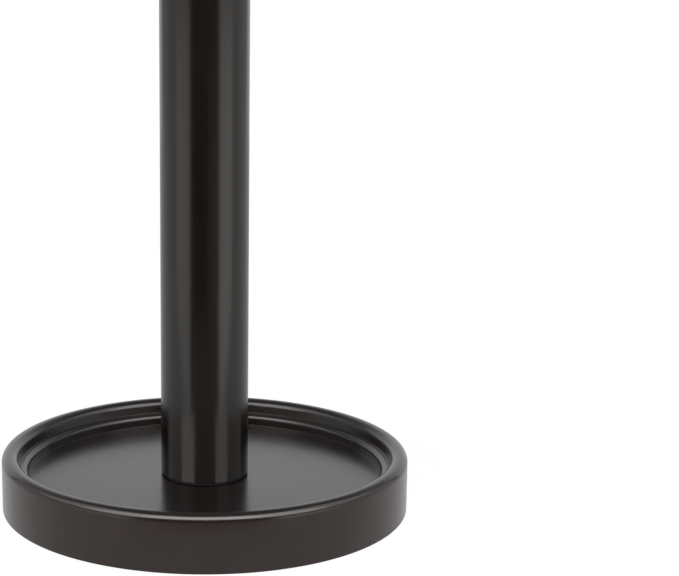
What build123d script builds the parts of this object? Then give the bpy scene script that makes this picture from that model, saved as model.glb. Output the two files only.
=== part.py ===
"""Countertop paper towel holder: a weighted, tray-shaped base and a plain tube post with a screw-on end cap.

Millimetres, +Z up. The origin is the middle of the foot pad's underside, so the part stands on Z = 0.
"""
from build123d import *
import os

# ---- driving dimensions ----
BASE_DIAMETER = 163.0
TUBE_DIAMETER = 35.0
TUBE_LENGTH = 314.5
TUBE_WALL = 1.2
SHEET = 1.0                  # sheet steel of the tray and of the bottom plate
SKIRT_GAP = 0.6              # from the table to the skirt's lower edge
RIM_HEIGHT = 22.7            # heights above the table
LEDGE_HEIGHT = 17.2
FLOOR_HEIGHT = 12.5
WALL_TOP_RADIUS = 75.3       # inner wall, where it would meet the rim's top
WALL_FOOT_RADIUS = 73.9      # inner wall, where it meets the ledge
STEP_TOP_RADIUS = 70.8       # step from the ledge down to the floor
STEP_FOOT_RADIUS = 70.5
RIM_OUTER_FILLET = 3.0
RIM_INNER_FILLET = 3.3
WALL_FOOT_FILLET = 0.15
LEDGE_FILLET = 2.4
FLOOR_FILLET = 0.15

# ---- base internals ----
PAD_THICKNESS = 1.6
PAD_RADIUS = 77.0
PAD_HOLE_RADIUS = 14.0
PLATE_CLEARANCE = 0.5        # between the skirt's inside and the bottom plate or the weight
PLATE_HOLE_RADIUS = 12.0
WEIGHT_TO_SKIRT = 1.0
WEIGHT_EDGE = 1.0            # chamfer on the weight's rims
COUNTERBORE_RADIUS = 8.0
WEB_HEIGHT = 3.2             # iron left between the counterbore and the tray's floor

# ---- fasteners ----
BOLT_RADIUS = 3.0            # M6 post bolt
BOLT_HOLE_RADIUS = 3.3
BOLT_THREAD_PLAY = 0.05
BOLT_HEAD_RADIUS = 5.25
BOLT_HEAD_HEIGHT = 3.3
BOLT_TIP_PAST_INSERT = 2.0
HEX_KEY_FLATS = 4.0
HEX_KEY_DEPTH = 2.0
FLAT_WASHER_RADIUS = 6.0
FLAT_WASHER_HEIGHT = 1.4
LOCK_WASHER_RADIUS = 5.6
LOCK_WASHER_HEIGHT = 1.2
LOCK_WASHER_SLIT = 0.9
SCREW_COUNT = 3
SCREW_CIRCLE_RADIUS = 60.0
SCREW_RADIUS = 2.0           # M4 countersunk
SCREW_HEAD_RADIUS = 4.0
SCREW_HEAD_HEIGHT = 2.2
SCREW_LENGTH = 8.0
SCREW_HOLE_DEPTH = 8.6
PHILLIPS_WIDTH = 0.9
PHILLIPS_LENGTH = 4.0
PHILLIPS_DEPTH = 1.2
PIN_RADIUS = 1.5
PIN_OFFSET = 11.0            # locating pin's distance from the post's axis
PIN_DEPTH_IN_WEIGHT = 3.0
PIN_DEPTH_IN_INSERT = 4.0

# ---- post and finial ----
GASKET_HEIGHT = 0.5
GASKET_INSET = 0.5           # gasket and cap washer stand back from the tube's face by this much
GASKET_HOLE_RADIUS = 8.0
TUBE_EDGE = 0.4
FOOT_INSERT_HEIGHT = 9.0
TOP_INSERT_HEIGHT = 12.0
INSERT_EDGE = 0.6
STUD_RADIUS = 4.0            # M8 finial stud
STUD_PLAY = 0.08             # radial play of the stud in the top insert
STUD_REACH = 10.0            # how far the stud stands out below the cap
STUD_IN_CAP = 6.0
STUD_EDGE = 0.6
CAP_WASHER_HEIGHT = 0.6
CAP_HEIGHT = 10.0
CAP_EDGE = 2.9               # fillet of the cap's upper edge, the same as the rim's
CAP_UNDERCUT = 0.4           # chamfer of the cap's lower edge
CAP_DOME = 0.8               # rise of the cap's crown

# ---- worked out from the above ----
BASE_RADIUS = BASE_DIAMETER / 2
TUBE_RADIUS = TUBE_DIAMETER / 2
TUBE_BORE_RADIUS = TUBE_RADIUS - TUBE_WALL
SKIRT_INNER_RADIUS = BASE_RADIUS - SHEET
PLATE_BOTTOM = PAD_THICKNESS
WEIGHT_BOTTOM = PLATE_BOTTOM + SHEET
WEIGHT_TOP = FLOOR_HEIGHT - SHEET
COUNTERBORE_TOP = WEIGHT_TOP - WEB_HEIGHT
TUBE_BOTTOM = FLOOR_HEIGHT + GASKET_HEIGHT
TUBE_TOP = TUBE_BOTTOM + TUBE_LENGTH
CAP_BOTTOM = TUBE_TOP + CAP_WASHER_HEIGHT
BOLT_SEAT = COUNTERBORE_TOP - FLAT_WASHER_HEIGHT - LOCK_WASHER_HEIGHT
SCREW_ANGLES = [90 + index * 360 / SCREW_COUNT for index in range(SCREW_COUNT)]


def disc(radius, bottom, height):
    """A solid disc or rod on the Z axis."""
    return Pos(0, 0, bottom) * Cylinder(radius, height, align=(Align.CENTER, Align.CENTER, Align.MIN))


def ring(outer_radius, inner_radius, bottom, height):
    """A flat ring or sleeve on the Z axis."""
    return disc(outer_radius, bottom, height) - disc(inner_radius, bottom - 1, height + 2)


def edges_at(solid, radius, height):
    """The circles of one radius on a turned solid, at one height."""
    circles = solid.edges().filter_by(GeomType.CIRCLE)
    return [
        edge for edge in circles
        if abs(edge.radius - radius) < 0.01 and abs(edge.center().Z - height) < 0.01
    ]


def behind(corners):
    """The corners of the sheet's hidden face, one sheet's thickness from the visible face's."""
    runs = [(after - before).normalized() for before, after in zip(corners, corners[1:])]
    normals = [Vector(-run.Z, 0, run.X) for run in runs]
    pairs = zip([normals[0], *normals], [*normals, normals[-1]])
    return [corner + (one + other) * (SHEET / (1 + one.dot(other))) for corner, (one, other) in zip(corners, pairs)]


def base_tray():
    """Pressed shell: the visible face's outline, the hidden face's behind it, and the two cut ends, turned."""
    corners = [
        Vector(BASE_RADIUS, 0, SKIRT_GAP),
        Vector(BASE_RADIUS, 0, RIM_HEIGHT),
        Vector(WALL_TOP_RADIUS, 0, RIM_HEIGHT),
        Vector(WALL_FOOT_RADIUS, 0, LEDGE_HEIGHT),
        Vector(STEP_TOP_RADIUS, 0, LEDGE_HEIGHT),
        Vector(STEP_FOOT_RADIUS, 0, FLOOR_HEIGHT),
        Vector(BOLT_HOLE_RADIUS, 0, FLOOR_HEIGHT),
    ]
    face_fillets = [RIM_OUTER_FILLET, RIM_INNER_FILLET, WALL_FOOT_FILLET, LEDGE_FILLET, FLOOR_FILLET]
    hidden_fillets = [
        RIM_OUTER_FILLET - SHEET,
        RIM_INNER_FILLET - SHEET,
        WALL_FOOT_FILLET + SHEET,
        LEDGE_FILLET - SHEET,
        FLOOR_FILLET + SHEET,
    ]
    face_line = FilletPolyline(*corners, radius=face_fillets)
    hidden_line = FilletPolyline(*behind(corners), radius=hidden_fillets)
    hem = Line(face_line @ 0, hidden_line @ 0)
    hole_edge = Line(face_line @ 1, hidden_line @ 1)
    section = make_face([*face_line.edges(), *hidden_line.edges(), hem, hole_edge])
    shell = revolve(section, Axis.Z, 360)
    pin_hole = Pos(PIN_OFFSET, 0, 0) * disc(PIN_RADIUS, WEIGHT_TOP - 1, SHEET + 2)
    return shell - pin_hole


def screw_places():
    """The bottom plate's screws, as places on their circle."""
    return [Rot(0, 0, angle) * Pos(SCREW_CIRCLE_RADIUS, 0, 0) for angle in SCREW_ANGLES]


def screw_cone(extra):
    """A countersunk head's cone, its flat face down at the plate's underside."""
    height = SCREW_HEAD_HEIGHT + extra
    place = Pos(0, 0, PLATE_BOTTOM - extra)
    return place * Cone(SCREW_HEAD_RADIUS + extra, SCREW_RADIUS, height, align=(Align.CENTER, Align.CENTER, Align.MIN))


def base_weight():
    """Cast iron disc with a counterbore for the post bolt's head and tapped holes for the plate's screws."""
    radius = SKIRT_INNER_RADIUS - WEIGHT_TO_SKIRT
    height = WEIGHT_TOP - WEIGHT_BOTTOM
    weight = disc(radius, WEIGHT_BOTTOM, height)
    rims = edges_at(weight, radius, WEIGHT_BOTTOM) + edges_at(weight, radius, WEIGHT_TOP)
    weight = chamfer(rims, WEIGHT_EDGE)
    weight -= disc(COUNTERBORE_RADIUS, WEIGHT_BOTTOM - 1, COUNTERBORE_TOP - WEIGHT_BOTTOM + 1)
    weight -= disc(BOLT_HOLE_RADIUS, WEIGHT_BOTTOM, height + 1)
    weight -= Pos(PIN_OFFSET, 0, 0) * disc(PIN_RADIUS, WEIGHT_TOP - PIN_DEPTH_IN_WEIGHT, PIN_DEPTH_IN_WEIGHT + 1)
    for place in screw_places():
        weight -= place * disc(SCREW_RADIUS, PLATE_BOTTOM, SCREW_HOLE_DEPTH)
        weight -= place * screw_cone(0)
    return weight


def bottom_plate():
    """Sheet steel cover under the weight, countersunk for its screws and open at the middle for the bolt."""
    plate = ring(SKIRT_INNER_RADIUS - PLATE_CLEARANCE, PLATE_HOLE_RADIUS, PLATE_BOTTOM, SHEET)
    for place in screw_places():
        plate -= place * screw_cone(0)
    return plate


def bottom_plate_screws():
    """Equal countersunk screws with cross recesses."""
    screw = screw_cone(0) + disc(SCREW_RADIUS, PLATE_BOTTOM, SCREW_LENGTH)
    for turn in (0, 90):
        slot = Box(PHILLIPS_LENGTH, PHILLIPS_WIDTH, PHILLIPS_DEPTH, align=(Align.CENTER, Align.CENTER, Align.MIN))
        screw -= Pos(0, 0, PLATE_BOTTOM) * Rot(0, 0, turn) * slot
    return Compound([place * screw.solid() for place in screw_places()])


def foot_pad():
    """Soft ring glued under the plate; it is what touches the table."""
    return ring(PAD_RADIUS, PAD_HOLE_RADIUS, 0, PAD_THICKNESS)


def post_flat_washer():
    """Flat washer that spreads the bolt's pull on the weight's web."""
    return ring(FLAT_WASHER_RADIUS, BOLT_HOLE_RADIUS, COUNTERBORE_TOP - FLAT_WASHER_HEIGHT, FLAT_WASHER_HEIGHT)


def post_lock_washer():
    """Split spring washer, drawn up flat."""
    washer = ring(LOCK_WASHER_RADIUS, BOLT_HOLE_RADIUS, BOLT_SEAT, LOCK_WASHER_HEIGHT)
    slit = Rot(0, 20, 0) * Box(LOCK_WASHER_SLIT, LOCK_WASHER_RADIUS, 4 * LOCK_WASHER_HEIGHT)
    middle = (LOCK_WASHER_RADIUS + BOLT_HOLE_RADIUS) / 2
    return washer - Pos(0, middle, BOLT_SEAT + LOCK_WASHER_HEIGHT / 2) * slit


def post_bolt():
    """Button-head bolt from below, through the weight, the tray and the gasket into the foot insert."""
    tip = TUBE_BOTTOM + FOOT_INSERT_HEIGHT + BOLT_TIP_PAST_INSERT
    shank = disc(BOLT_RADIUS, BOLT_SEAT, tip - BOLT_SEAT)
    shank = chamfer(edges_at(shank, BOLT_RADIUS, tip), BOLT_RADIUS / 4)
    head = disc(BOLT_HEAD_RADIUS, BOLT_SEAT - BOLT_HEAD_HEIGHT, BOLT_HEAD_HEIGHT)
    head = fillet(edges_at(head, BOLT_HEAD_RADIUS, BOLT_SEAT - BOLT_HEAD_HEIGHT), BOLT_HEAD_HEIGHT * 0.8)
    key = extrude(RegularPolygon(HEX_KEY_FLATS / 2, 6, major_radius=False), HEX_KEY_DEPTH)
    return shank + head - Pos(0, 0, BOLT_SEAT - BOLT_HEAD_HEIGHT) * key


def post_gasket():
    """Thin washer between the tray's floor and the tube, set back from the tube's face."""
    gasket = ring(TUBE_RADIUS - GASKET_INSET, GASKET_HOLE_RADIUS, FLOOR_HEIGHT, GASKET_HEIGHT)
    return gasket - Pos(PIN_OFFSET, 0, 0) * disc(PIN_RADIUS, FLOOR_HEIGHT - 1, GASKET_HEIGHT + 2)


def locating_pin():
    """Pin that keeps the post from turning on its bolt."""
    bottom = WEIGHT_TOP - PIN_DEPTH_IN_WEIGHT
    top = TUBE_BOTTOM + PIN_DEPTH_IN_INSERT
    return Pos(PIN_OFFSET, 0, 0) * disc(PIN_RADIUS, bottom, top - bottom)


def post_tube():
    """Steel tube with broken edges."""
    tube = ring(TUBE_RADIUS, TUBE_BORE_RADIUS, TUBE_BOTTOM, TUBE_LENGTH)
    rims = edges_at(tube, TUBE_RADIUS, TUBE_BOTTOM) + edges_at(tube, TUBE_RADIUS, TUBE_TOP)
    return fillet(rims, TUBE_EDGE)


def insert(bottom, height, hole_radius):
    """A tapped steel plug pressed into the tube."""
    plug = disc(TUBE_BORE_RADIUS, bottom, height)
    rims = edges_at(plug, TUBE_BORE_RADIUS, bottom) + edges_at(plug, TUBE_BORE_RADIUS, bottom + height)
    plug = chamfer(rims, INSERT_EDGE)
    return plug - disc(hole_radius, bottom - 1, height + 2)


def post_foot_insert():
    """Plug in the tube's lower end, with a blind hole for the locating pin."""
    plug = insert(TUBE_BOTTOM, FOOT_INSERT_HEIGHT, BOLT_RADIUS + BOLT_THREAD_PLAY)
    return plug - Pos(PIN_OFFSET, 0, 0) * disc(PIN_RADIUS, TUBE_BOTTOM - 1, PIN_DEPTH_IN_INSERT + 1)


def post_top_insert():
    """Plug in the tube's upper end, which takes the finial's stud."""
    return insert(TUBE_TOP - TOP_INSERT_HEIGHT, TOP_INSERT_HEIGHT, STUD_RADIUS + STUD_PLAY)


def finial_washer():
    """Thin rubber washer under the cap; it rides up on the stud when the cap is unscrewed."""
    return ring(TUBE_RADIUS - GASKET_INSET, STUD_RADIUS + STUD_PLAY, TUBE_TOP, CAP_WASHER_HEIGHT)


def finial_stud():
    """Threaded stud, drawn as its outer cylinder, fixed in the cap."""
    bottom = CAP_BOTTOM - STUD_REACH
    top = CAP_BOTTOM + STUD_IN_CAP
    stud = disc(STUD_RADIUS, bottom, top - bottom)
    return chamfer(edges_at(stud, STUD_RADIUS, bottom) + edges_at(stud, STUD_RADIUS, top), STUD_EDGE)


def finial_cap():
    """Cap as wide as the tube, with a round upper edge and a slightly domed crown."""
    crown_radius = TUBE_RADIUS - CAP_EDGE
    dome_radius = (crown_radius ** 2 + CAP_DOME ** 2) / (2 * CAP_DOME)
    cap = disc(TUBE_RADIUS, CAP_BOTTOM, CAP_HEIGHT - CAP_DOME)
    cap = fillet(edges_at(cap, TUBE_RADIUS, CAP_BOTTOM + CAP_HEIGHT - CAP_DOME), CAP_EDGE)
    cap = chamfer(edges_at(cap, TUBE_RADIUS, CAP_BOTTOM), CAP_UNDERCUT)
    dome = Pos(0, 0, CAP_BOTTOM + CAP_HEIGHT - dome_radius) * Sphere(dome_radius)
    cap += dome & disc(crown_radius, CAP_BOTTOM + CAP_HEIGHT - CAP_DOME - 1, CAP_DOME + 2)
    return cap - disc(STUD_RADIUS, CAP_BOTTOM - 1, STUD_IN_CAP + 1)


PIECES = {
    "base_tray": base_tray,
    "base_weight": base_weight,
    "bottom_plate": bottom_plate,
    "bottom_plate_screws": bottom_plate_screws,
    "foot_pad": foot_pad,
    "post_flat_washer": post_flat_washer,
    "post_lock_washer": post_lock_washer,
    "post_bolt": post_bolt,
    "post_gasket": post_gasket,
    "locating_pin": locating_pin,
    "post_tube": post_tube,
    "post_foot_insert": post_foot_insert,
    "post_top_insert": post_top_insert,
    "finial_washer": finial_washer,
    "finial_stud": finial_stud,
    "finial_cap": finial_cap,
}

os.makedirs("parts", exist_ok=True)
for node, make in PIECES.items():
    export_step(make(), f"parts/{node}.step")
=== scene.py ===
import math
import bpy
import numpy as np
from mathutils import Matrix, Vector


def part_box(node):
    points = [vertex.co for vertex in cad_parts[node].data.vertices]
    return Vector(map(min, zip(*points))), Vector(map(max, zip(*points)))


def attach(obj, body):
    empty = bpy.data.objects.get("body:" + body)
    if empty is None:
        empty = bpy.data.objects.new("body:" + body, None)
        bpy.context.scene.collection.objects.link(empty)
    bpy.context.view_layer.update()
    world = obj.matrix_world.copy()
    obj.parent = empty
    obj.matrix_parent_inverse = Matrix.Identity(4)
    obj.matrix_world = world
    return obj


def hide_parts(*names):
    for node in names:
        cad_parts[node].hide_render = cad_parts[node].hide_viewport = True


# The holder as packed from CAD: a weighted tray base, a tube post and a screw-on end cap. Metres throughout.
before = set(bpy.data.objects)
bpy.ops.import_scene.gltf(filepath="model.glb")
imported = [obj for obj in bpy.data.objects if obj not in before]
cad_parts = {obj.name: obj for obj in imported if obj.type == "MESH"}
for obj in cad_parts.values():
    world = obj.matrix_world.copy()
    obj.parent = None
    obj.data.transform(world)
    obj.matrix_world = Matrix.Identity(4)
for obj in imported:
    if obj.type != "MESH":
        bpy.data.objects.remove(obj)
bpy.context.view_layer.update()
scene = bpy.context.scene
MM = 0.001

# ---------------------------------------------------------------------------------------------------------
# Camera. A long lens, 0.64 m from the middle of the skirt's foot, looks down on the base. The frame is
# shifted sideways, so the holder stands left of its middle and the post runs out of the top.
EYE_DISTANCE = 0.6362
EYE_ELEVATION = math.radians(18.955)
EYE_DIPS = math.radians(11.17)
SENSOR_WIDTH = 36.0                # millimetres, as the lens
LENS = 82.06
FRAME_SHIFT = 0.1987

camera_data = bpy.data.cameras.new("camera")
camera_data.sensor_width = SENSOR_WIDTH
camera_data.lens = LENS
camera_data.shift_x = FRAME_SHIFT
camera = bpy.data.objects.new("camera", camera_data)
skirt_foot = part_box("base_tray")[0].z
eye_back = EYE_DISTANCE * math.cos(EYE_ELEVATION)
eye_up = EYE_DISTANCE * math.sin(EYE_ELEVATION)
camera.location = (0, -eye_back, eye_up + skirt_foot)
camera.rotation_euler = (math.pi / 2 - EYE_DIPS, 0, 0)
scene.collection.objects.link(camera)
scene.camera = camera
scene.view_settings.view_transform = "Standard"


# ---------------------------------------------------------------------------------------------------------
# Studio. A white paper floor in white air, three lamps that light the finishes without being mirrored, and
# glowing cards that only gloss mirrors: walls, boxes, a ceiling, two on the table, and five in the tray for
# the post's foot. The five in the tray are a painted reflection on the post's foot, a glow where the real
# tray has nothing bright. None of it belongs to the object.
def linear(code):
    """An sRGB hex colour as linear RGBA."""
    channels = np.array([int(code[at:at + 2], 16) for at in (1, 3, 5)]) / 255
    straight = np.where(channels <= 0.04045, channels / 12.92, ((channels + 0.055) / 1.055) ** 2.4)
    return (*straight.tolist(), 1.0)


def add(tree, kind, settings=None, values=None, links=None):
    """One node of a kind, with its settings, its sockets' values and its sockets' links."""
    node = tree.nodes.new(kind)
    for key, value in (settings or {}).items():
        setattr(node, key, value)
    for key, value in (values or {}).items():
        node.inputs[key].default_value = value
    for key, source in (links or {}).items():
        tree.links.new(source, node.inputs[key])
    return node


def new_finish(name):
    """A new node material, its tree and its principled shader."""
    finish = bpy.data.materials.new(name)
    finish.use_nodes = True
    return finish, finish.node_tree, finish.node_tree.nodes["Principled BSDF"]


def staged(name, vertices, faces, finish):
    """A mesh that belongs to the studio, not to the object."""
    mesh = bpy.data.meshes.new(name)
    mesh.from_pydata(vertices, [], faces)
    mesh.materials.append(finish)
    sheet = bpy.data.objects.new(name, mesh)
    scene.collection.objects.link(sheet)
    return sheet


def square(west, south, east, north, height):
    """The corners of a level rectangle."""
    return [(west, south, height), (east, south, height), (east, north, height), (west, north, height)]


FLOOR_HALF = 20.0
FLOOR_DROP = 0.05 * MM             # keeps the paper clear of the foot pad's underside
GLOW_NEAR = 0.3                    # from here to GLOW_FAR, in metres, the paper brightens
GLOW_FAR = 1.5
GLOW_LEAST = 0.95
GLOW_MOST = 1.02
# The paper glows as well as taking the lamps' light: painted light, a little dimmer near the base and
# brighter far off, where the lamps' light falls away.
paper, tree, shader = new_finish("white_paper")
shader.inputs["Base Color"].default_value = linear("#a0a0a0")
shader.inputs["Roughness"].default_value = 0.9
shader.inputs["Specular IOR Level"].default_value = 0.0
shader.inputs["Emission Color"].default_value = (1, 1, 1, 1)
spot = add(tree, "ShaderNodeTexCoord")
reach = add(tree, "ShaderNodeVectorMath", {"operation": "LENGTH"}, links={0: spot.outputs["Object"]})
glow = add(tree, "ShaderNodeMapRange",
           values={"From Min": GLOW_NEAR, "From Max": GLOW_FAR, "To Min": GLOW_LEAST, "To Max": GLOW_MOST},
           links={"Value": reach.outputs["Value"]})
tree.links.new(glow.outputs["Result"], shader.inputs["Emission Strength"])
floor_corners = square(-FLOOR_HALF, -FLOOR_HALF, FLOOR_HALF, FLOOR_HALF, -FLOOR_DROP)
floor = staged("floor", floor_corners, [(0, 1, 2, 3)], paper)
floor.visible_glossy = False

PURE_WHITE = (1, 1, 1, 1)
WARM_WHITE = (1.05, 1.0, 0.95, 1)
CARD_COLUMNS = 13                  # points along a curved card
CARD_ROWS = 9


def glowing_card(name, strength, vertices, faces, tone=PURE_WHITE, one_sided=False):
    """A glowing sheet that only gloss mirrors. A one-sided sheet is clear from behind."""
    glow = bpy.data.materials.new(name + "_glow")
    glow.use_nodes = True
    glow.node_tree.nodes.clear()
    light = add(glow.node_tree, "ShaderNodeEmission", values={"Color": tone, "Strength": strength})
    output = add(glow.node_tree, "ShaderNodeOutputMaterial", links={"Surface": light.outputs[0]})
    if one_sided:
        side = add(glow.node_tree, "ShaderNodeNewGeometry")
        clear = add(glow.node_tree, "ShaderNodeBsdfTransparent")
        front = add(glow.node_tree, "ShaderNodeMixShader",
                    links={0: side.outputs["Backfacing"], 1: light.outputs[0], 2: clear.outputs[0]})
        glow.node_tree.links.new(front.outputs[0], output.inputs["Surface"])
    card = staged(name, vertices, faces, glow)
    card.visible_camera = False
    card.visible_diffuse = False
    card.visible_shadow = False


def sky_card(name, strength, azimuths, elevations, distance=1.5, tone=PURE_WHITE):
    """A card that is a patch of a sphere about the base, between two azimuths from -Y and two elevations.

    A point is distance * (sin(azimuth) cos(elevation), -cos(azimuth) cos(elevation), sin(elevation)).
    """
    columns_at = np.radians(np.linspace(*azimuths, CARD_COLUMNS))
    rows_at = np.radians(np.linspace(*elevations, CARD_ROWS))
    turn, rise = np.meshgrid(columns_at, rows_at)
    level = np.cos(rise)
    points = distance * np.stack([np.sin(turn) * level, -np.cos(turn) * level, np.sin(rise)], axis=-1)
    rows, columns = turn.shape
    corner = (np.arange(rows - 1)[:, None] * columns + np.arange(columns - 1)).reshape(-1, 1)
    faces = corner + np.array([0, 1, columns + 1, columns])
    glowing_card(name, strength, points.reshape(-1, 3).tolist(), faces.tolist(), tone)


# One card lies on the table under the base and far behind it. A dimmer one lies in front of it and narrows
# towards the base.
CARD_RISE = 0.1 * MM
TABLE_SIDE = 1.6
TABLE_BACK = 2.0
TABLE_FRONT = -0.13
PATCH_FRONT = -0.36
PATCH_FRONT_SIDE = 0.2
PATCH_BACK_SIDE = 0.08
table_corners = square(-TABLE_SIDE, TABLE_FRONT, TABLE_SIDE, TABLE_BACK, CARD_RISE)
patch_corners = [
    (-PATCH_FRONT_SIDE, PATCH_FRONT, CARD_RISE),
    (PATCH_FRONT_SIDE, PATCH_FRONT, CARD_RISE),
    (PATCH_BACK_SIDE, TABLE_FRONT, CARD_RISE),
    (-PATCH_BACK_SIDE, TABLE_FRONT, CARD_RISE),
]
glowing_card("table_near", 0.75, table_corners, [(0, 1, 2, 3)])
glowing_card("table_front", 0.26, patch_corners, [(0, 1, 2, 3)], WARM_WHITE)
sky_card("back_wall", 0.98, (130, 230), (-40, 28))
sky_card("back_fade", 0.5, (130, 230), (28, 45))
sky_card("ceiling", 0.3, (-180, 180), (30, 90), distance=1.6)
sky_card("left_low", 1.35, (-77, -37), (-40, 8), tone=WARM_WHITE)
sky_card("right_low", 1.75, (37, 75), (-40, 8), tone=WARM_WHITE)
sky_card("right_fill", 0.28, (10, 39), (-40, 3))
sky_card("left_wall", 0.72, (-125, -76), (-40, 40))
sky_card("right_wall", 0.78, (74, 125), (-40, 40))
sky_card("left_box", 4.6, (-72, -36), (22, 62))
sky_card("right_box", 4.6, (36, 72), (22, 62))
sky_card("left_fill", 1.8, (-106, -72), (24, 60), distance=1.45)
sky_card("right_fill_high", 1.8, (72, 106), (24, 60), distance=1.45)
sky_card("front_box", 7.4, (-36, 36), (28, 63))

TRAY_CARD_GAP = 1 * MM             # from the post's face, and over the rim's top
TRAY_CARD_FLOAT = 0.3 * MM         # over the tray's floor, at the post's foot
TRAY_CARD_REACH = 61 * MM          # from the post's face to over the rim


def tray_card(name, strength, azimuths):
    """A card in the tray that paints a reflection on the post's foot, mirrored between two azimuths.

    A point on the post's face that stands at half an azimuth mirrors towards that azimuth. So a point of the
    card is radius * (sin(half), -cos(half)) + way * (sin(azimuth), -cos(azimuth)), and rises with its way
    from the post's foot to the rim.
    """
    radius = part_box("post_tube")[1].x
    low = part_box("post_gasket")[0].z + TRAY_CARD_FLOAT
    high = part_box("base_tray")[1].z + TRAY_CARD_GAP
    turn = np.radians(np.linspace(*azimuths, CARD_COLUMNS))
    rings = [np.stack([radius * np.sin(turn / 2) + way * np.sin(turn),
                       -radius * np.cos(turn / 2) - way * np.cos(turn), 0 * turn + height], axis=-1)
             for way, height in ((TRAY_CARD_GAP, low), (TRAY_CARD_REACH, high))]
    start = np.arange(len(turn) - 1)[:, None]
    faces = start + np.array([0, len(turn), len(turn) + 1, 1])
    glowing_card(name, strength, np.concatenate(rings).tolist(), faces.tolist(), WARM_WHITE, one_sided=True)


# Painted reflection: these cards glow in the tray only for the post's gloss, which brightens its foot.
tray_card("left_side_tray_card", 0.4, (-110, -62))
tray_card("left_tray_card", 1.15, (-62, -27))
tray_card("front_tray_card", 0.22, (-27, 29))
tray_card("right_tray_card", 0.98, (29, 62))
tray_card("right_side_tray_card", 0.32, (62, 110))


def soft_box(name, power, place, aim, width, height):
    """An area light at a place, turned to an aim point, that lights but isn't mirrored."""
    light = bpy.data.lights.new(name, "AREA")
    light.shape = "RECTANGLE"
    light.size = width
    light.size_y = height
    light.energy = power
    lamp = bpy.data.objects.new(name, light)
    lamp.location = place
    lamp.rotation_euler = (Vector(aim) - Vector(place)).to_track_quat("-Z", "Y").to_euler()
    lamp.visible_camera = False
    lamp.visible_glossy = False
    scene.collection.objects.link(lamp)


soft_box("overhead_light", power=1.5, place=(0, -0.1, 1.7), aim=(0, 0, 0), width=2.2, height=2.2)
soft_box("left_light", power=11.5, place=(-1.5, -1.0, 0.25), aim=(0, 0, 0.1), width=1.2, height=1.4)
soft_box("right_light", power=10, place=(1.5, -1.0, 0.25), aim=(0, 0, 0.1), width=1.2, height=1.4)

world = bpy.data.worlds.new("studio_air")
scene.world = world
world.use_nodes = True
tree = world.node_tree
tree.nodes.clear()
white_air = add(tree, "ShaderNodeBackground", values={"Color": (1, 1, 1, 1), "Strength": 1.0})
dim_air = add(tree, "ShaderNodeBackground", values={"Color": (1, 1, 1, 1), "Strength": 0.05})
path = add(tree, "ShaderNodeLightPath")
air = add(tree, "ShaderNodeMixShader",
          links={0: path.outputs["Is Camera Ray"], 1: dim_air.outputs[0], 2: white_air.outputs[0]})
add(tree, "ShaderNodeOutputWorld", links={"Surface": air.outputs[0]})


# ---------------------------------------------------------------------------------------------------------
# Base tray. One pressing of 1 mm sheet steel with a skirt, a round rim, an inner wall, a narrow ledge and a
# flat floor, coated all over. It is turned about the post's axis, sheet thickness and all.
ARC_STEP = 7.0                     # degrees between the points of a round stretch


def rounded(corners, radii, lead=0.15 * MM):
    """An outline of (radius, height) points through corners, with an arc at each inner corner.

    An arc touches its two runs at radius / tan(half the corner's angle) from the corner, and its points are
    equal angles apart. Each run gets a point a lead away from the arcs at its ends, which keeps it flat when
    it is shaded smooth.
    """
    corners = np.array(corners, float)
    points = [corners[0]]
    for at, radius in enumerate(radii, start=1):
        before, after = corners[at - 1] - corners[at], corners[at + 1] - corners[at]
        before, after = before / np.linalg.norm(before), after / np.linalg.norm(after)
        half = 0.5 * math.acos(float(np.clip(before @ after, -1, 1)))
        start = corners[at] + before * radius / math.tan(half)
        end = corners[at] + after * radius / math.tan(half)
        middle = corners[at] + (before + after) / np.linalg.norm(before + after) * radius / math.sin(half)
        turn = math.pi - 2 * half
        share = np.linspace(0, 1, 1 + max(3, math.ceil(math.degrees(turn) / ARC_STEP)))[:, None]
        leaving, nearing = np.sin((1 - share) * turn), np.sin(share * turn)
        arc = (leaving * (start - middle) + nearing * (end - middle)) / math.sin(turn)
        points += [start + before * lead, *(middle + arc), end + after * lead]
    return np.array([*points, corners[-1]])


def behind(corners, thickness):
    """The corners of a sheet's hidden face, for the corners of its visible face.

    A corner moves by thickness * (n1 + n2) / (1 + n1 . n2), where n1 and n2 are the unit normals to the left
    of its two runs. An end moves along its one normal.
    """
    runs = np.diff(np.array(corners, float), axis=0)
    normals = np.stack([-runs[:, 1], runs[:, 0]], axis=1) / np.linalg.norm(runs, axis=1)[:, None]
    first, second = np.vstack([normals[:1], normals]), np.vstack([normals, normals[-1:]])
    moved = thickness * (first + second) / (1 + np.sum(first * second, axis=1))[:, None]
    return np.array(corners, float) + moved


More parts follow.
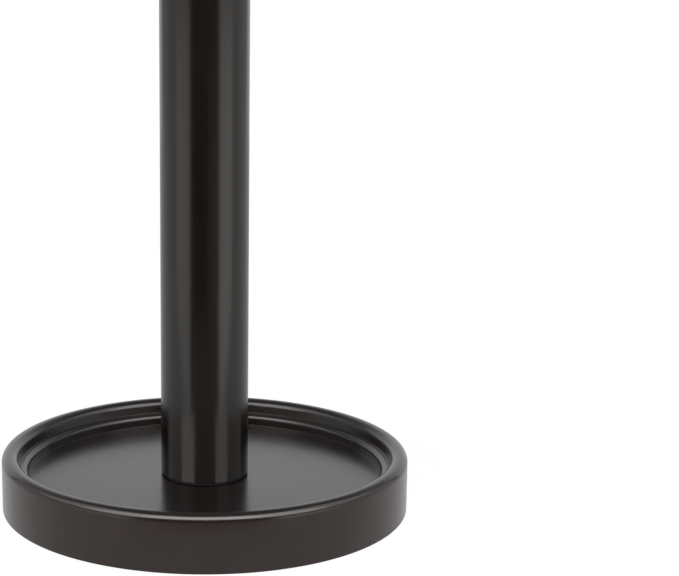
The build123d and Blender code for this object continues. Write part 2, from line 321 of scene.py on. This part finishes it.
def spun(name, radius, height, poles=None):
    """A closed surface about the post's axis, from tables of radius and height with a row for each ring.

    Point (i, j) is radius[i, j] out and height[i, j] up, turned by j equal steps. The rings run
    anticlockwise, with radius to the right and height up, which turns the faces outwards. The poles are the
    heights of a bottom and a top point on the axis that close the ends. Without them the last ring is joined
    to the first.
    """
    rows, steps = radius.shape
    angle = np.arange(steps) * 2 * math.pi / steps
    vertices = np.stack([radius * np.cos(angle), radius * np.sin(angle), height], axis=-1).reshape(-1, 3)
    row, column = np.arange(rows - 1 if poles else rows)[:, None], np.arange(steps)[None, :]
    above, onward = (row + 1) % rows, (column + 1) % steps
    corners = [row * steps + column, row * steps + onward, above * steps + onward, above * steps + column]
    faces = np.stack(corners, axis=-1).reshape(-1, 4).tolist()
    if poles:
        bottom, top, last = rows * steps, rows * steps + 1, (rows - 1) * steps
        vertices = np.vstack([vertices, [0, 0, poles[0]], [0, 0, poles[1]]])
        ring = np.arange(steps)
        faces += np.stack([0 * ring + bottom, (ring + 1) % steps, ring], axis=1).tolist()
        faces += np.stack([0 * ring + top, last + ring, last + (ring + 1) % steps], axis=1).tolist()
    mesh = bpy.data.meshes.new(name)
    mesh.from_pydata(vertices.tolist(), [], faces)
    mesh.polygons.foreach_set("use_smooth", [True] * len(mesh.polygons))
    piece = bpy.data.objects.new(name, mesh)
    scene.collection.objects.link(piece)
    return piece


def turned(name, outline, steps):
    """A surface of revolution from an outline of (radius, height) points.

    Poles close an outline that starts and ends on the axis.
    """
    poles = (outline[0, 1], outline[-1, 1]) if outline[0, 0] == 0 else None
    body = outline[1:-1] if poles else outline
    around = np.ones(steps)
    return spun(name, body[:, :1] * around, body[:, 1:] * around, poles)


SHEET = 1.0 * MM
CUT_EDGE = 0.15 * MM               # rounding of the sheet's cut edges
RIM_OUTER_FILLET = 3.0 * MM
RIM_INNER_FILLET = 3.3 * MM
WALL_TOP_RADIUS = 75.3 * MM        # inner wall, where it would meet the rim's top
WALL_FOOT_RADIUS = 73.9 * MM       # inner wall, where it meets the ledge
LEDGE_RISE = 4.7 * MM              # ledge above the floor
STEP_TOP_RADIUS = 70.8 * MM
STEP_FOOT_RADIUS = 70.5 * MM
WALL_FOOT_FILLET = 0.15 * MM
LEDGE_FILLET = 2.4 * MM
FLOOR_FILLET = 0.15 * MM
BOLT_HOLE_RADIUS = 3.3 * MM
tray_low, tray_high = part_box("base_tray")
floor_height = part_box("post_gasket")[0].z
face_corners = [
    (tray_high.x, tray_low.z),
    (tray_high.x, tray_high.z),
    (WALL_TOP_RADIUS, tray_high.z),
    (WALL_FOOT_RADIUS, floor_height + LEDGE_RISE),
    (STEP_TOP_RADIUS, floor_height + LEDGE_RISE),
    (STEP_FOOT_RADIUS, floor_height),
    (BOLT_HOLE_RADIUS, floor_height),
]
face_fillets = [RIM_OUTER_FILLET, RIM_INNER_FILLET, WALL_FOOT_FILLET, LEDGE_FILLET, FLOOR_FILLET]
back_fillets = [
    RIM_OUTER_FILLET - SHEET,
    RIM_INNER_FILLET - SHEET,
    WALL_FOOT_FILLET + SHEET,
    LEDGE_FILLET - SHEET,
    FLOOR_FILLET + SHEET,
]
hem = (tray_high.x - SHEET / 2, tray_low.z)
tray_corners = [hem, *face_corners, *behind(face_corners, SHEET)[::-1], hem]
tray_fillets = [CUT_EDGE, *face_fillets, CUT_EDGE, CUT_EDGE, *back_fillets[::-1], CUT_EDGE]
tray = turned("tray_shell", rounded(tray_corners, tray_fillets)[:-1], steps=288)


def grained(name, tints, patches, grain, rough, relief, metallic=0.0, stretch=(1, 1, 1)):
    """A finish mottled between two tints, with a finer grain in its roughness and its relief.

    Patches and grain are noise scales, per metre. Rough is the lowest and highest roughness, and relief the
    bump's strength and its height in metres. Stretch squeezes the noise along X, Y and Z.
    """
    finish, tree, shader = new_finish(name)
    place = add(tree, "ShaderNodeTexCoord")
    squeezed = add(tree, "ShaderNodeMapping", values={"Scale": stretch},
                   links={"Vector": place.outputs["Object"]})
    mottle = add(tree, "ShaderNodeTexNoise", values={"Scale": patches, "Detail": 3.0, "Roughness": 0.5},
                 links={"Vector": squeezed.outputs["Vector"]})
    tint = add(tree, "ShaderNodeValToRGB", links={"Fac": mottle.outputs["Fac"]})
    tint.color_ramp.elements[0].position, tint.color_ramp.elements[1].position = 0.3, 0.7
    tint.color_ramp.elements[0].color, tint.color_ramp.elements[1].color = linear(tints[0]), linear(tints[1])
    tree.links.new(tint.outputs["Color"], shader.inputs["Base Color"])
    fine = add(tree, "ShaderNodeTexNoise", values={"Scale": grain, "Detail": 2.0, "Roughness": 0.6},
               links={"Vector": squeezed.outputs["Vector"]})
    sheen = add(tree, "ShaderNodeMapRange", values={"To Min": rough[0], "To Max": rough[1]},
                links={"Value": fine.outputs["Fac"]})
    tree.links.new(sheen.outputs["Result"], shader.inputs["Roughness"])
    dents = add(tree, "ShaderNodeBump", values={"Strength": relief[0], "Distance": relief[1]},
                links={"Height": fine.outputs["Fac"]})
    tree.links.new(dents.outputs["Normal"], shader.inputs["Normal"])
    shader.inputs["Metallic"].default_value = metallic
    return finish


# Oil-rubbed bronze, as a baked satin coat: brown-black with a faint mottle, and a smooth clear face. The
# face mirrors little from the front and much at a slant, so the brown shows where nothing bright is mirrored.
base_coat = grained("oil_rubbed_bronze_base_coat", ("#251712", "#2a1d18"), patches=60, grain=900,
                    rough=(0.19, 0.24), relief=(0.04, 0.1 * MM))
tray.data.materials.append(base_coat)
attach(tray, "root")
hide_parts("base_tray")

# ---------------------------------------------------------------------------------------------------------
# Post. A 35 mm steel tube, cut square with its edges broken, in the same kind of coat as the base.
tube_low, tube_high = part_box("post_tube")
TUBE_WALL = 1.2 * MM
TUBE_EDGE = 0.4 * MM
bore = tube_high.x - TUBE_WALL
half_way = (tube_low.z + tube_high.z) / 2
tube_corners = [
    (bore, half_way),
    (bore, tube_low.z),
    (tube_high.x, tube_low.z),
    (tube_high.x, tube_high.z),
    (bore, tube_high.z),
    (bore, half_way),
]
tube_fillets = [CUT_EDGE, TUBE_EDGE, TUBE_EDGE, CUT_EDGE]
tube = turned("post_shell", rounded(tube_corners, tube_fillets)[:-1], steps=192)

# The base's bronze coat in a darker tint.
post_coat = grained("oil_rubbed_bronze_post_coat", ("#110d0a", "#16120e"), patches=60, grain=900,
                    rough=(0.19, 0.24), relief=(0.04, 0.1 * MM))
tube.data.materials.append(post_coat)
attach(tube, "root")
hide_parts("post_tube")

# ---------------------------------------------------------------------------------------------------------
# End cap. Turned steel, as wide as the tube, with the rim's round edge and a slightly domed crown, coated.
cap_low, cap_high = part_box("finial_cap")
CAP_EDGE = 2.9 * MM
CAP_DOME = 0.8 * MM
CAP_UNDERCUT = 0.4 * MM
cap_corners = [(0, cap_low.z), (cap_high.x, cap_low.z), (cap_high.x, cap_high.z - CAP_DOME), (0, cap_high.z)]
cap = turned("end_cap", rounded(cap_corners, [CAP_UNDERCUT, CAP_EDGE]), steps=192)
cap.data.materials.append(post_coat)
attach(cap, "cap")
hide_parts("finial_cap")

# ---------------------------------------------------------------------------------------------------------
# Finial stud. An M8 stud of zinc-plated steel, pressed into the cap, that screws into the insert at the
# tube's top. A right-hand thread drawn with straight flanks and sharp crests, and tapered ends.
STUD_PITCH = 1.25 * MM
STUD_DEPTH = 0.767 * MM
STUD_TAPER = 0.8 * MM
STUD_ROWS_PER_TURN = 14
STUD_STEPS = 56
stud_low, stud_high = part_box("finial_stud")
stud_rows = math.ceil((stud_high.z - stud_low.z) / STUD_PITCH * STUD_ROWS_PER_TURN)
stud_height = np.linspace(stud_low.z, stud_high.z, stud_rows)[:, None] * np.ones(STUD_STEPS)
around = np.arange(STUD_STEPS) / STUD_STEPS
# The thread: radius = outer - depth * |2 * frac(height / pitch - turn) - 1|, and near an end no more than
# the taper's radius there.
groove = np.abs(2 * ((stud_height / STUD_PITCH - around) % 1) - 1)
from_end = np.minimum(stud_height - stud_low.z, stud_high.z - stud_height)
stud_radius = np.minimum(stud_high.x - STUD_DEPTH * groove, stud_high.x - STUD_TAPER + from_end)
stud = spun("stud_thread", stud_radius, stud_height, (stud_low.z, stud_high.z))

# Bright zinc plate: a pale, slightly bluish metal with a fine crystalline grain.
zinc = grained("bright_zinc_plate", ("#b4b8bd", "#c9cccf"), patches=220, grain=1500, rough=(0.24, 0.38),
               relief=(0.08, 0.03 * MM), metallic=1.0)
stud.data.materials.append(zinc)
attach(stud, "cap")
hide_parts("finial_stud")

# ---------------------------------------------------------------------------------------------------------
# Inserts. Tapped steel plugs pressed into the tube's two ends, turned and left oiled: fine rings around the
# axis and a dull grey shine.
turned_steel = grained("turned_oiled_steel", ("#6e6c69", "#85827e"), patches=90, grain=700,
                       rough=(0.28, 0.42), relief=(0.15, 0.03 * MM), metallic=1.0, stretch=(0.2, 0.2, 6.0))
for node in ("post_foot_insert", "post_top_insert"):
    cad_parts[node].data.materials[0] = turned_steel

# ---------------------------------------------------------------------------------------------------------
# Weight. A grey iron disc, cast in sand and left as cast, that fills the hollow under the tray's floor.
cast_iron = grained("sand_cast_grey_iron", ("#2f2d2b", "#4a4744"), patches=140, grain=650, rough=(0.55, 0.8),
                    relief=(0.6, 0.25 * MM), metallic=0.7)
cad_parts["base_weight"].data.materials[0] = cast_iron

# ---------------------------------------------------------------------------------------------------------
# Bottom plate, its screws, the post bolt with its washers, and the locating pin that keeps the post from
# turning on its bolt. Steel with the same zinc plate as the stud.
for node in ("bottom_plate", "bottom_plate_screws", "post_bolt", "post_lock_washer", "post_flat_washer",
             "locating_pin"):
    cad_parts[node].data.materials[0] = zinc

# ---------------------------------------------------------------------------------------------------------
# Rubber washers. Black moulded rubber, one under the post and one under the cap.
rubber = grained("black_moulded_rubber", ("#0b0b0b", "#131312"), patches=300, grain=1800, rough=(0.6, 0.8),
                 relief=(0.25, 0.05 * MM))
for node in ("post_gasket", "finial_washer"):
    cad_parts[node].data.materials[0] = rubber

# ---------------------------------------------------------------------------------------------------------
# Foot pad. A ring of closed-cell foam glued under the plate, which stands on the table.
foam, tree, shader = new_finish("black_closed_cell_foam")
FOAM_CELLS = 1100.0                # cells per metre, each about 0.9 mm
place = add(tree, "ShaderNodeTexCoord")
cells = add(tree, "ShaderNodeTexVoronoi", values={"Scale": FOAM_CELLS},
            links={"Vector": place.outputs["Object"]})
# The colour is darkest at each cell's middle, where the bump sinks, and lighter at its walls: painted shade
# in the pores.
painted_pore_shade = add(tree, "ShaderNodeValToRGB", links={"Fac": cells.outputs["Distance"]})
painted_pore_shade.color_ramp.elements[0].color, painted_pore_shade.color_ramp.elements[1].color = linear("#050505"), linear("#191918")
tree.links.new(painted_pore_shade.outputs["Color"], shader.inputs["Base Color"])
walls = add(tree, "ShaderNodeBump", values={"Strength": 0.5, "Distance": 0.1 * MM},
            links={"Height": cells.outputs["Distance"]})
tree.links.new(walls.outputs["Normal"], shader.inputs["Normal"])
shader.inputs["Roughness"].default_value = 0.9
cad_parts["foot_pad"].data.materials[0] = foam
